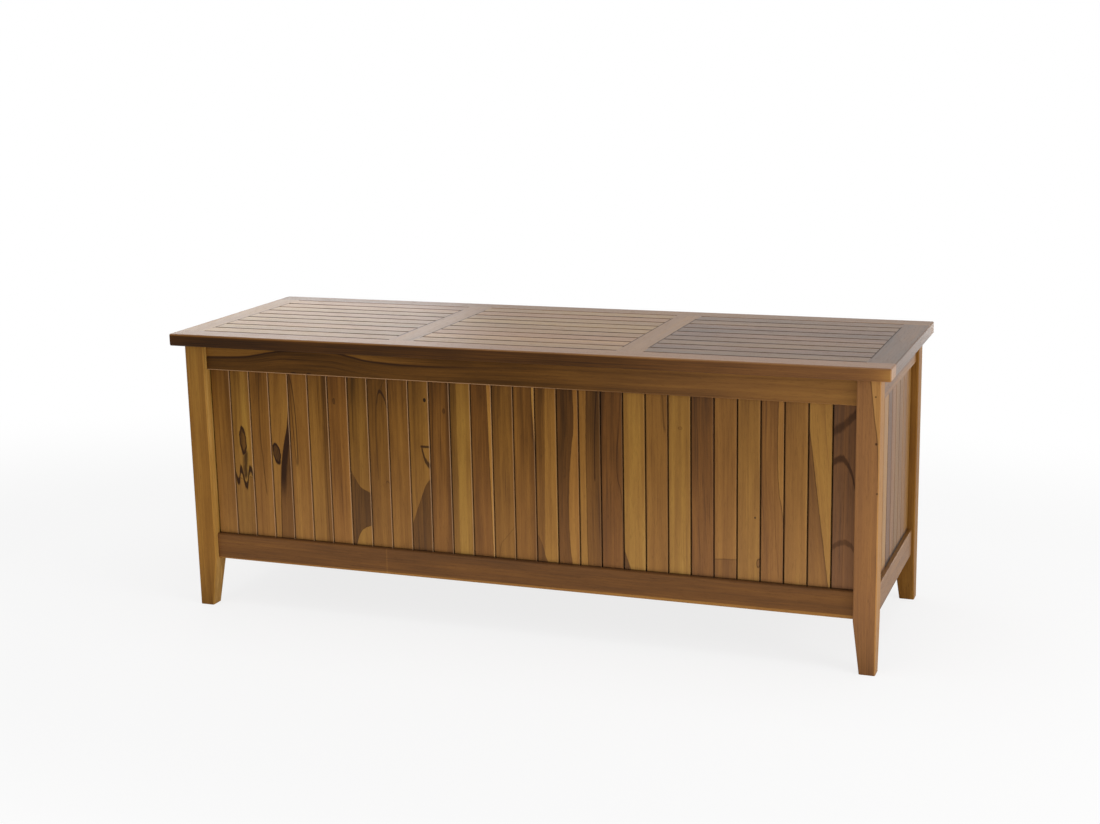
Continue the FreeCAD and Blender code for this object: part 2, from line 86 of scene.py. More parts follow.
class Shader:
    # A material or world and its nodes
    def __init__(self, owner):
        owner.use_nodes = True
        self.owner = owner
        self.tree = owner.node_tree
        self.tree.nodes.clear()

    def add(self, kind, settings=None, sockets=None, out=0):
        node = self.tree.nodes.new(kind)
        for key, value in (settings or {}).items():
            if key == "stops":
                self.setStops(node.color_ramp, value)
            elif key == "interpolation" and kind == "ShaderNodeValToRGB":
                node.color_ramp.interpolation = value
            elif key == "points":
                self.setPoints(node.mapping, value)
            else:
                setattr(node, key, value)
        for key, value in (sockets or {}).items():
            if isinstance(value, Wire):
                self.tree.links.new(value.output, node.inputs[key])
            else:
                node.inputs[key].default_value = value
        return Wire(self, node.outputs[out]) if node.outputs else node

    def setStops(self, ramp, stops):
        while len(ramp.elements) < len(stops):
            ramp.elements.new(0.5)
        for element, (place, colour) in zip(ramp.elements, stops):
            element.position = place
            element.color = colour

    def setPoints(self, mapping, points):
        line = mapping.curves[0]
        while len(line.points) < len(points):
            line.points.new(0.5, 0.5)
        for point, (at, value) in zip(line.points, points):
            point.location = (at, value)
            point.handle_type = "AUTO_CLAMPED"
        mapping.update()

    def outputs(self, kind, sockets=None):
        first = self.add(kind, {}, sockets)
        return [Wire(self, output) for output in first.output.node.outputs]

    def place(self):
        spot = self.add("ShaderNodeTexCoord", out="Object")
        return self.outputs("ShaderNodeSeparateXYZ", {0: spot})

    def facing(self):
        normal = self.add("ShaderNodeTexCoord", out="Normal")
        return self.outputs("ShaderNodeSeparateXYZ", {0: normal})

    def vector(self, x, y, z):
        return self.add("ShaderNodeCombineXYZ", {}, {0: x, 1: y, 2: z})

    def noise(self, vector, detail=2.0, rough=0.5):
        sockets = {"Vector": vector, "Scale": 1.0, "Detail": detail, "Roughness": rough}
        return self.add("ShaderNodeTexNoise", {}, sockets, out="Fac") - 0.5

    def chance(self, number):
        return self.add("ShaderNodeTexWhiteNoise", {"noise_dimensions": "1D"}, {"W": number}, out="Value")

    def math(self, operation, *values):
        return self.add("ShaderNodeMath", {"operation": operation}, dict(enumerate(values)))

    def mix(self, factor, first, second, how="MIX"):
        settings = {"data_type": "RGBA", "blend_type": how}
        return self.add("ShaderNodeMix", settings, {0: factor, 6: first, 7: second}, out=2)

    def blend(self, factor, first, second):
        return first + (second - first) * factor

    def step(self, value, low, high):
        # 0 at low and 1 at high, smooth between; low may be the larger
        settings = {"interpolation_type": "SMOOTHSTEP"}
        return self.add("ShaderNodeMapRange", settings, {0: value, 1: low, 2: high, 3: 0.0, 4: 1.0})

    def most(self, first, second):
        return self.math("MAXIMUM", first, second)

    def distance(self, first, second):
        return self.math("SQRT", first * first + second * second)

    def near(self, value, width):
        # 1 where value is 0, falling to 0 at the width
        return self.step(self.math("ABSOLUTE", value), width, 0.0)

    def curve(self, value, points):
        # A smooth line through (place, height) points, level beyond its ends. The margin is for level lines.
        places = [p[0] for p in points]
        heights = [p[1] for p in points]
        margin = 0.001
        low, high = min(heights) - margin, max(heights) + margin
        across = places[-1] - places[0]
        stops = [((p - places[0]) / across, (h - low) / (high - low)) for p, h in points]
        share = self.add("ShaderNodeFloatCurve", {"points": stops}, {1: (value - places[0]) / across})
        return share * (high - low) + low

    def surface(self, colour, rough, bump, fixed):
        sockets = {"Base Color": colour, "Roughness": rough, "Normal": bump, **fixed}
        return self.add("ShaderNodeBsdfPrincipled", {}, sockets)

    def bump(self, height, depth):
        return self.add("ShaderNodeBump", {}, {"Height": height, "Distance": depth})

    def output(self, surface):
        self.add("ShaderNodeOutputMaterial", {}, {0: surface})
        return self.owner


def newShader(name):
    return Shader(bpy.data.materials.new(name))


def paint(red, green, blue):
    # A colour as a screen shows it, 0 to 255, made linear for a socket
    linear = [((c / 255 + 0.055) / 1.055) ** 2.4 if c > 10 else c / 255 / 12.92 for c in (red, green, blue)]
    return (*linear, 1.0)


def dress(material, *names):
    for name in names:
        piece = nodes[name]
        piece.data.materials.clear()
        piece.data.materials.append(material)


# Wood

mm = 1000.0  # per metre

teak = {
    "tones": [  # from near-black heartwood to pale sapwood
        (0.00, paint(38, 24, 11)),
        (0.14, paint(62, 39, 14)),
        (0.30, paint(91, 59, 23)),
        (0.45, paint(114, 77, 32)),
        (0.60, paint(130, 91, 40)),
        (0.75, paint(146, 107, 48)),
        (0.90, paint(164, 124, 62)),
        (1.00, paint(184, 144, 82)),
    ],
    # dark figure in the wood, also used for painted shade in gaps, on arrises and over the bottom rail
    "darkFigureAndShade": paint(38, 21, 11),
    "redTint": (1.06, 0.96, 0.96, 1.0),
    "oliveTint": (0.97, 1.02, 0.88, 1.0),
    # painted highlight colour for lit arrises
    "arris": paint(172, 134, 98),
    # painted sheen colour, a pale reflection laid over the wood
    "sheenColour": paint(160, 118, 90),
    # noises, per metre across the grain, through the depth and along the grain
    "drift": (9.0, 9.0, 2.0),
    "ripple": (24.0, 24.0, 7.0),
    "streaks": (95.0, 95.0, 1.8),
    "veins": (230.0, 230.0, 4.0),
    "fibres": (520.0, 520.0, 11.0),
    "pores": (1100.0, 1100.0, 60.0),
    "patches": (30.0, 14.0, 5.0),
    "seedShift": 3.7,  # how far a seed of 1 moves them
    "streakShift": 1.7,
    "poreRange": (0.10, 0.22),  # noise at which pores and veins begin and are full
    "veinRange": (0.08, 0.24),
    "wander": 0.009,  # metres that the grain bends to either side
    "waver": 0.0035,
    "pithSeed": 5.3,
    "pithSpread": 0.05,  # metres within which the middle of the rings lies
    "pithDepth": 0.035,
    "ringSpacing": 0.0052,
    "ringSlope": 0.012,  # metres that the rings move per metre along the grain
    "ringBend": 0.003,
    "ringRise": (0.35, 0.90),  # shares of a ring where it grows dark and where it ends
    "ringEnd": (0.92, 1.0),
    "patchTone": 0.30,
    "fibreTone": 0.20,
    "veinTone": 0.30,  # times the contrast
    "poreDark": 0.22,
    "fibreRough": 0.12,
    "poreRough": 0.10,
    "fibreRelief": 0.5,
    "poreRelief": 0.6,
    "ringRelief": 0.2,
    "relief": 0.00016,  # metres
    "gloss": 0.05,
    "endGloss": 0.30,  # the end walls, seen at a low angle
    "roughness": 0.46,
    "lidGloss": 0.32,  # the lid's upper side is the smoothest
    "lidRoughness": 0.36,
    "lidFacing": (0.3, 0.9),  # how far a side faces up or right to be polished
    "sideFacing": (0.4, 0.9),  # how far a side faces right to count as the right one
}


def woodGrain(shader, across, depth, along, seed=0.0):
    # Streaks, rings, fibres and pores of a board whose grain runs with along
    shift = seed * teak["seedShift"]

    def noiseOf(kind, side, sideShift, alongShift, detail, rough=0.5):
        perSide, perDepth, perAlong = teak[kind]
        first = side * perSide
        if sideShift is not None:
            first = first + sideShift
        place = shader.vector(first, depth * perDepth, along * perAlong + alongShift)
        return shader.noise(place, detail, rough)

    bend = noiseOf("drift", across, shift, shift, 2.0)
    ripple = noiseOf("ripple", across, -shift, shift, 1.0)
    bent = across + bend * teak["wander"] + ripple * teak["waver"]
    pith = shader.chance(shader.math("ADD", seed, teak["pithSeed"])) * teak["pithSpread"]
    beside = bent + (pith - teak["pithSpread"] / 2)
    below = depth + teak["pithDepth"]
    radius = shader.distance(beside, below)
    turns = (radius + along * teak["ringSlope"] + bend * teak["ringBend"]) / teak["ringSpacing"]
    phase = shader.math("FRACT", turns)
    return {
        "bend": bend,
        "streaks": noiseOf("streaks", bent, shift, shift * teak["streakShift"], 3.0, 0.55),
        "fibres": noiseOf("fibres", bent, None, shift, 2.0, 0.6),
        "pores": shader.step(noiseOf("pores", bent, None, shift, 1.0), *teak["poreRange"]),
        "veins": shader.step(noiseOf("veins", bent, shift, -shift, 2.0, 0.6), *teak["veinRange"]),
        "rings": shader.step(phase, *teak["ringRise"]) - shader.step(phase, *teak["ringEnd"]),
        "patches": noiseOf("patches", across, shift, -shift, 2.0),
    }


def woodFinish(shader, grain, tone, lines=None, red=0.5, contrast=0.45, ringTone=0.05, light=None, paintedSheen=None,
               gloss="gloss", lid=False):
    # tone 0 is dark heartwood and 1 pale sapwood. Masks: lines are near-black, for dark figure and for
    # painted shade; light is a painted highlight on lit arrises; the sheen mask is a painted sheen, a pale
    # reflection over the wood.
    shade = tone + grain["streaks"] * contrast + grain["patches"] * teak["patchTone"]
    shade = shade + grain["fibres"] * teak["fibreTone"]
    shade = shade - grain["rings"] * ringTone - grain["veins"] * contrast * teak["veinTone"]
    colour = shader.add("ShaderNodeValToRGB", {"stops": teak["tones"]}, {0: shade}, out="Color")
    tint = shader.mix(red, teak["oliveTint"], teak["redTint"])
    colour = shader.mix(1.0, colour, tint, "MULTIPLY")
    if paintedSheen is not None:
        colour = shader.mix(paintedSheen, colour, teak["sheenColour"])
    colour = shader.mix(grain["pores"] * teak["poreDark"], colour, teak["darkFigureAndShade"])
    # near-black lines: dark figure, and painted shade where a mask marks it
    if lines is not None:
        colour = shader.mix(lines, colour, teak["darkFigureAndShade"])
    if light is not None:
        colour = shader.mix(light, colour, teak["arris"])
    rough = grain["fibres"] * teak["fibreRough"] + grain["pores"] * teak["poreRough"]
    raised = grain["fibres"] * teak["fibreRelief"] - grain["pores"] * teak["poreRelief"]
    bump = shader.bump(raised + grain["rings"] * teak["ringRelief"], teak["relief"])
    plain = shader.surface(colour, rough + teak["roughness"], bump, {"Specular IOR Level": teak[gloss]})
    if not lid:
        return shader.output(plain)
    fixed = {"Specular IOR Level": teak["lidGloss"]}
    glossy = shader.surface(colour, rough + teak["lidRoughness"], bump, fixed)
    normal = shader.facing()
    upward, sideways = [shader.step(normal[axis], *teak["lidFacing"]) for axis in (2, 0)]
    polished = shader.most(upward, sideways)
    if lines is not None:
        polished = polished * (1.0 - lines)
    return shader.output(shader.add("ShaderNodeMixShader", {}, {0: polished, 1: plain, 2: glossy}))


def rightSide(shader):
    # 1 on the sides that face right
    return shader.step(shader.facing()[0], *teak["sideFacing"])


boardLook = {
    "patches": (16.0, 1.3),  # per metre across and along the grain
    "patchTone": 4.0,  # times the spread
    "seedStep": 0.61,  # between neighbouring boards
    "borderSeed": 1.7,
    "borderSpread": 0.06,  # metres within which the border between the two tones lies
    "borderBend": 0.012,
    "borderEdge": (-0.0010, 0.0014),
    "firstTone": 2.0,  # times the spread
    "secondTone": 1.4,
    "secondSeed": 31.0,
    "redSeed": 57.0,
    "footShadowBand": (0.011, 0.003),  # metres above the foot where the painted shadow band ends and where it is full
    # depth of the painted shadow band
    "footShadow": 0.40,
    "gapFull": 0.6,  # share of the painted shade line along the gap that is full dark
    "gapNoise": (3.0, 5.0),  # per board and per metre along the grain
    "gapShade": (1.6, 0.70),
    "gapHighlight": (0.7, 0.4),  # painted highlight line on the other side, in widths of the gap line
    "gapHighlightShare": 0.4,
}


def boardTeak(name, grainAxis, tone=0.5, spread=0.12, boards=None, seed=0.0, red=0.5, gaps=None, fade=None,
              foot=None, **finish):
    # Teak with the grain along an axis. boards splits the node into pieces with tones of their own, and
    # gaps is the width of the painted shade line along the low side of each, in metres, with a painted
    # highlight along the high side. fade is two places along the grain and how much darker the second is.
    # foot is a place along the grain with a painted shadow band above it.
    shader = newShader(name)
    look = boardLook
    x, y, z = shader.place()
    along, across, depth = {"x": (x, y, z), "y": (y, x, z), "z": (z, x, y)}[grainAxis]
    if not boards:
        grain = woodGrain(shader, across, depth, along, seed)
        perSide, perAlong = look["patches"]
        patch = shader.noise(shader.vector(across * perSide, depth * perSide, along * perAlong + seed), 1.0)
        return woodFinish(shader, grain, patch * look["patchTone"] * spread + tone, red=red, **finish)
    line = {"x": x, "y": y}[boards["axis"]] - boards["start"]
    number = shader.math("FLOOR", line / boards["pitch"])
    side = line - (number + 0.5) * boards["pitch"]
    grain = woodGrain(shader, side, depth, along, number * look["seedStep"] + seed)
    border = (shader.chance(number * look["borderSeed"] + seed) - 0.5) * look["borderSpread"]
    beyond = shader.step(side - (border + grain["bend"] * look["borderBend"]), *look["borderEdge"])
    first = (shader.chance(number + seed) - 0.5) * look["firstTone"] * spread
    second = (shader.chance(number + seed + look["secondSeed"]) - 0.5) * look["secondTone"] * spread
    tones = first + second * beyond + tone
    if fade:
        start, end, darker = fade
        tones = tones - (along - (start + end) / 2) / (end - start) * darker
    # painted shadow band above the foot
    if foot:
        ending, full = look["footShadowBand"]
        tones = tones - shader.step(along, foot + ending, foot + full) * look["footShadow"]
    lines = None
    light = None
    # painted shade along the low side of each board, and a painted highlight along its high side
    if gaps:
        half = (boards["pitch"] - boards["gap"]) / 2
        perBoard, perAlong = look["gapNoise"]
        uneven = shader.noise(shader.vector(number * perBoard + seed, 0.0, along * perAlong))
        change, level = look["gapShade"]
        lines = shader.step(side, gaps - half, gaps * look["gapFull"] - half) * (uneven * change + level)
        far, near = look["gapHighlight"]
        light = shader.step(side, half - gaps * far, half - gaps * near) * look["gapHighlightShare"]
    redness = shader.chance(number + seed + look["redSeed"])
    return woodFinish(shader, grain, tones, lines, redness, light=light, **finish)


def boardsOf(name, axis, count, gap):
    low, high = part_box(name)
    at = "xyz".index(axis)
    pitch = (high[at] - low[at] + gap) / count
    return {"axis": axis, "start": low[at] - gap / 2, "pitch": pitch, "gap": gap}


# Front wall, whose slats follow the real one one by one

frontWall = {
    "gap": 0.0023,
    # left tone, right tone, border between them from the middle in mm, its lean in mm per m of height,
    # dark line at the border 0 to 1, redness 0 to 1
    "slats": [
        (0.50, 0.43, 0, 0, 0.0, 0.5), (0.57, 0.69, 0, 10, 0.0, 0.2), (0.49, 0.52, -5, 25, 0.2, 0.6),
        (0.61, 0.27, -6, 20, 0.9, 0.5), (0.50, 0.58, -12, 0, 0.2, 0.6), (0.54, 0.37, 8, 5, 0.2, 0.4),
        (0.49, 0.56, 4, 0, 0.0, 0.8), (0.42, 0.55, 0, 30, 0.0, 0.2), (0.39, 0.43, 3, 20, 0.0, 0.4),
        (0.47, 0.44, 0, 0, 0.0, 0.5), (0.46, 0.54, 0, 0, 0.0, 0.3), (0.36, 0.27, 10, 20, 0.0, 0.7),
        (0.40, 0.64, -8, 0, 0.0, 0.1), (0.37, 0.75, 16, -20, 0.5, 0.8), (0.46, 0.48, 3, 0, 0.0, 0.4),
        (0.45, 0.37, 2, 10, 0.0, 0.6), (0.36, 0.60, -3, 15, 0.1, 0.5), (0.25, 0.60, 14, 67, 0.4, 0.7),
        (0.55, 0.28, -6, 4, 0.6, 0.5), (0.28, 0.30, 0, 10, 0.0, 0.9), (0.65, 0.66, 0, 0, 0.0, 0.2),
        (0.54, 0.49, 0, 0, 0.0, 0.4), (0.59, 0.66, 4, 0, 0.0, 0.1), (0.31, 0.31, 12, -40, 0.0, 0.8),
        (0.52, 0.53, 4, 0, 0.0, 0.5), (0.52, 0.59, 0, 0, 0.0, 0.2), (0.43, 0.66, 14, -20, 0.6, 0.6),
        (0.48, 0.58, 0, 0, 0.0, 0.4), (0.36, 0.75, -5, -129, 0.5, 0.4), (0.20, 0.26, 0, 10, 0.2, 0.9),
    ],
    "middle": 340.0,
    # painted light from the floor towards the ground, and painted shade up under the lid
    "paintedGroundLight": 0.00045,  # how much paler the wood is painted per mm towards the ground
    # slat: border bent through (height, side) points
    "bentBorders": {
        4: [(160, -9), (240, -6), (300, -3), (325, 0), (360, 6), (408, 17), (450, 22)],
        18: [(160, 6), (200, 2), (260, 0), (330, 2), (400, 8), (460, 13), (512, 12)],
        19: [(160, -6), (340, -7), (512, -5)],
        27: [(160, 22), (259, 22), (344, 13), (430, 10), (512, 11)],
    },
    # slat, side and height of the middle, half width, half height, lean, fill 0 to 1
    "knots": [
        (2, 1, 365, 7.5, 28, 0.04, 0.55), (4, -10.7, 343, 8.0, 22, 0.15, 0.60),
        (11, 14, 476, 3, 4, 0.0, 0.90), (23, 2, 451, 4, 3, 0.0, 0.10), (26, 13, 285, 1.6, 1.8, 0.0, 0.80),
        (26, 20, 195, 3.5, 9, 0.0, 0.35), (7, -8, 462, 3, 6, 0.0, 0.20), (12, 10, 456, 3, 5, 0.0, 0.15),
    ],
    # slat, edge through (side, height) points, field below or above it, tone of the field
    "fields": [
        (2, [(-22, 284), (-6, 282), (5, 266), (13, 288), (22, 284)], -1, 0.52),
        (8, [(-22, 320), (-12, 300), (0, 283), (22, 273)], -1, 0.22),
        (8, [(-22, 120), (-15, 158), (-3, 189), (22, 205)], -1, 0.66),
        (11, [(-22, 212), (-12, 240), (0, 272), (12, 300), (22, 312)], -1, 0.22),
        (17, [(-22, 216), (-14, 200), (0, 156), (22, 120)], -1, 0.24),
        (21, [(-22, 200), (-14, 176), (-4, 150), (22, 120)], -1, 0.24),
        (16, [(-22, 640), (14, 560), (18, 470), (22, 396)], 1, 0.76),
        (25, [(-22, 196), (22, 198)], -1, 0.40),
    ],
    # slat, dark line through (height, side) points, half width in mm, strength
    "lines": [
        (5, [(318, -8), (350, -7), (420, -8), (470, -11), (512, -18)], 1.3, 0.80),
        (5, [(318, -10), (380, -14), (440, -16), (512, -19)], 1.0, 0.60),
        (3, [(250, 6), (330, 1), (400, -2), (512, 2)], 1.3, 0.50),
        (6, [(158, 14), (340, 12), (505, 15)], 1.2, 0.40),
        (6, [(158, 19), (340, 18), (505, 18)], 1.0, 0.30),
        (19, [(333, 10), (430, 11), (512, 16)], 1.3, 0.85),
        (20, [(158, 21), (259, 21), (323, 16.5), (340, 12), (376, 10), (430, 14), (512, 19)], 0.9, 0.60),
        (22, [(440, 17), (470, 14), (512, 12)], 2.0, 0.45),
        (16, [(380, 24), (397, 21), (430, 17), (512, 16)], 1.0, 0.50),
        (9, [(300, -4), (400, -6), (470, -2), (490, 6)], 1.2, 0.40),
        (27, [(170, 14), (300, 6), (512, 4)], 0.9, 0.25),
        (15, [(158, -14), (190, -8), (200, 0)], 0.9, 0.35),
    ],
    # slat, dark line across it through (side, height) points, half height in mm, strength
    "crossLines": [
        (2, [(-22, 298), (-14, 276), (-8, 302), (4, 266), (14, 304), (22, 286)], 13.0, 0.95),
        (9, [(-2, 462), (6, 489), (14, 478), (22, 452)], 6.0, 0.80),
        (9, [(8, 270), (15, 300), (22, 296)], 2.5, 0.45),
        (11, [(2, 379), (22, 379)], 3.6, 0.85),
        (11, [(4, 376), (12, 350), (22, 338)], 9.0, 0.85),
        (30, [(-22, 404), (-6, 412), (8, 398), (22, 352)], 10.0, 0.70),
        (30, [(-22, 462), (0, 478), (22, 500)], 12.0, 0.60),
        (30, [(-22, 238), (2, 250), (22, 236)], 8.0, 0.45),
    ],
    "borderRange": 60.0,  # mm and mm per m, which the stepped ramps hold as 0 to 1
    "leanRange": 400.0,
    "noise": (0.16, 7.0, 0.07),  # per mm of side, per slat and per mm of height
    "seedStep": 0.61,  # between neighbouring slats
    "flowShare": 0.6,  # how far the grain follows the border
    "farAway": 9.0,  # knot radii that every point of another slat is taken to be away
    "knotNoise": 0.9,
    "knotReach": (2.6, 0.6),  # in knot radii, where the grain begins to bend and where it bends most
    "knotBend": 0.55,
    "knotEdge": (1.02, 0.90),
    "knotDark": 0.75,
    "rim": 0.94,  # in knot radii
    "rimNoise": 0.3,
    "rimEdge": (0.28, 0.06),
    "rimDark": (1.3, 0.20),
    "wander": (5.0, 3.0),  # mm that borders stray with the grain and with the noise
    "borderWander": 0.6,
    "borderEdge": (-0.6, 0.8),
    "borderLine": 1.5,
    "leftHalf": (0.25, -0.25),  # x where the light on the left half begins and where it is full
    "upperShade": (420.0, 512.0, 0.08),
    "fieldEdge": (-1.0, 1.5),
    "fieldLine": (2.2, 0.45),  # half width in mm, strength
    "lineEnd": (-4.0, 8.0),  # mm from the lower end of a line where it begins and where it is full
    "lineSoft": 1.8,
    "crossEnd": (-1.0, 0.5),
    "crossCore": 0.4,
    # near-black heart beside the border of the fourth slat: width and height, in mm
    "heart": {"slat": 4, "near": (-0.4, 0.6), "far": (16.0, 10.0), "low": (236.0, 296.0),
              "high": (424.0, 400.0), "dark": 0.9},
    # tail under the knot of the second slat
    "tail": {"slat": 2, "side": 3.5, "height": 300.0, "lean": 0.06, "noise": 5.0, "halfWidth": 10.0,
             "low": (276.0, 290.0), "high": (352.0, 334.0), "dark": 0.85},
    "arris": (19.8, 20.7),  # mm from the middle of a slat where its arris begins and is full
    "arrisLight": (0.50, 0.10),  # painted highlight, on the left half and everywhere
    # painted shade on the left arrises: how much less on the left half, and its full strength
    "arrisDark": (0.45, 0.75),
    "footShadowLine": (2.6, 1.4, 0.7),  # painted shadow line over the bottom rail
    "paintedSheenUp": (440.0, 150.0, 0.12),  # painted sheen: heights in mm where it begins and is full, strength
    # painted sheen on the right part and on slat 30
    "paintedSheenRight": (0.0, 0.6, 0.10),
    "paintedSheenSlat": (30, 0.08),
}


def pickBySlat(shader, number, values):
    # Three numbers from 0 to 1 for each slat, as a stepped ramp over the slat numbers
    stops = [(i / len(values), (*value, 1.0)) for i, value in enumerate(values)]
    settings = {"interpolation": "CONSTANT", "stops": stops}
    ramp = shader.add("ShaderNodeValToRGB", settings, {0: (number + 0.5) / len(values)}, out="Color")
    return shader.outputs("ShaderNodeSeparateColor", {0: ramp})


def frontSlatTeak():
    shader = newShader("frontSlatTeak")
    x, y, z = shader.place()
    wall = frontWall
    slats = wall["slats"]
    cells = boardsOf("front_slats", "x", len(slats), wall["gap"])
    number = shader.math("FLOOR", (x - cells["start"]) / cells["pitch"])
    side = (x - cells["start"] - (number + 0.5) * cells["pitch"]) * mm
    height = z * mm

    def on(slat):
        return shader.math("COMPARE", number, slat - 1.0, 0.5)

    borderRange = wall["borderRange"]
    leanRange = wall["leanRange"]
    left, right, border = pickBySlat(shader, number, [(s[0], s[1], s[2] / borderRange + 0.5) for s in slats])
    lean, edge, red = pickBySlat(shader, number, [(s[3] / leanRange + 0.5, s[4], s[5]) for s in slats])
    borderAt = (border - 0.5) * borderRange + (lean - 0.5) * (leanRange / mm) * (height - wall["middle"])
    for slat, points in wall["bentBorders"].items():
        borderAt = shader.blend(on(slat), borderAt, shader.curve(height, points))

    # grain that follows the borders and flows round the knots
    perSide, perSlat, perHeight = wall["noise"]
    uneven = shader.noise(shader.vector(side * perSide, number * perSlat, height * perHeight), 2.0)
    flow = side - borderAt * wall["flowShare"]
    fills = []
    rims = []
    rimShare, rimLeast = wall["rimDark"]
    for slat, knotSide, knotHeight, halfWidth, halfHeight, knotLean, fill in wall["knots"]:
        off = side - knotSide + (height - knotHeight) * knotLean
        wide = off / halfWidth
        tall = (height - knotHeight) / halfHeight
        elsewhere = (1.0 - on(slat)) * wall["farAway"]
        reach = shader.distance(wide, tall) + elsewhere + uneven * wall["knotNoise"]
        flow = flow - off * shader.step(reach, *wall["knotReach"]) * wall["knotBend"]
        fills.append(shader.step(reach, *wall["knotEdge"]) * fill)
        fromRim = shader.math("ABSOLUTE", reach - wall["rim"] - uneven * wall["rimNoise"])
        rims.append(shader.step(fromRim, *wall["rimEdge"]) * min(fill * rimShare + rimLeast, 1.0))
    grain = woodGrain(shader, flow / mm, y, z, number * wall["seedStep"])
    grainWander, noiseWander = wall["wander"]
    wander = grain["bend"] * grainWander + uneven * noiseWander

    beyond = side - borderAt - wander * wall["borderWander"]
    tone = shader.blend(shader.step(beyond, *wall["borderEdge"]), left, right)
    leftHalf = shader.step(x, *wall["leftHalf"])
    # painted light towards the ground and painted shade up under the lid, and more painted shade under the
    # top rail on the left half
    tone = tone + (wall["middle"] - height) * wall["paintedGroundLight"]
    shadeFrom, shadeTo, shade = wall["upperShade"]
    tone = tone - shader.step(height, shadeFrom, shadeTo) * leftHalf * shade
    lines = shader.near(beyond, wall["borderLine"]) * edge

    edgeWidth, edgeDark = wall["fieldLine"]
    for slat, points, way, fieldTone in wall["fields"]:
        above = (height - shader.curve(side, points)) * way - wander
        inside = shader.step(above, *wall["fieldEdge"]) * on(slat)
        tone = shader.blend(inside, tone, fieldTone)
        lines = shader.most(lines, shader.near(above, edgeWidth) * on(slat) * edgeDark)
    for slat, points, halfWidth, strength in wall["lines"]:
        off = side - shader.curve(height, points)
        begin, full = [points[0][0] + reach for reach in wall["lineEnd"]]
        stroke = shader.near(off, halfWidth * wall["lineSoft"]) * shader.step(height, begin, full)
        lines = shader.most(lines, stroke * on(slat) * strength)
    for slat, points, halfHeight, strength in wall["crossLines"]:
        off = height - shader.curve(side, points)
        begin, full = [points[0][0] + reach for reach in wall["crossEnd"]]
        off = shader.math("ABSOLUTE", off + uneven * halfHeight)
        stroke = shader.step(off, halfHeight, halfHeight * wall["crossCore"])
        lines = shader.most(lines, stroke * shader.step(side, begin, full) * on(slat) * strength)

    heart = wall["heart"]
    stain = shader.step(beyond, *heart["near"]) * shader.step(beyond, *heart["far"]) * on(heart["slat"])
    stain = stain * shader.step(height, *heart["low"]) * shader.step(height, *heart["high"])
    tail = wall["tail"]
    off = side - tail["side"] - (height - tail["height"]) * tail["lean"] + uneven * tail["noise"]
    streak = shader.near(off, tail["halfWidth"]) * on(tail["slat"])
    streak = streak * shader.step(height, *tail["low"]) * shader.step(height, *tail["high"])
    lines = shader.most(lines, shader.most(stain * heart["dark"], streak * tail["dark"]))
    for fill, rim in zip(fills, rims):
        tone = tone - fill * wall["knotDark"]
        lines = shader.most(lines, rim)

    # painted highlight on the right arrises, strongest on the left half, and painted shade on the left
    # arrises, strongest on the right half
    arrisFrom, arrisFull = wall["arris"]
    more, least = wall["arrisLight"]
    arris = shader.step(side, arrisFrom, arrisFull) * (leftHalf * more + least)
    less, most = wall["arrisDark"]
    lines = shader.most(lines, shader.step(side, -arrisFrom, -arrisFull) * (most - leftHalf * less))
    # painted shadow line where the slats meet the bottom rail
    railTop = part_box("front_bottom_rail")[1][2] * mm
    begin, full, strength = wall["footShadowLine"]
    lines = shader.most(lines, shader.step(height, railTop + begin, railTop + full) * strength)
    # painted sheen, a pale reflection, towards the ground, on the right part and on slat 30
    up, ground, upSheen = wall["paintedSheenUp"]
    middle, end, rightSheen = wall["paintedSheenRight"]
    paintedSheenSlat, slatSheen = wall["paintedSheenSlat"]
    paintedSheen = shader.step(height, up, ground) * upSheen + shader.step(x, middle, end) * rightSheen
    paintedSheen = paintedSheen + on(paintedSheenSlat) * slatSheen
    return woodFinish(shader, grain, tone, lines, red, contrast=0.52, ringTone=0.04, light=arris, paintedSheen=paintedSheen)


dress(frontSlatTeak(), "front_slats")
print("front wall dressed")


# Front rails

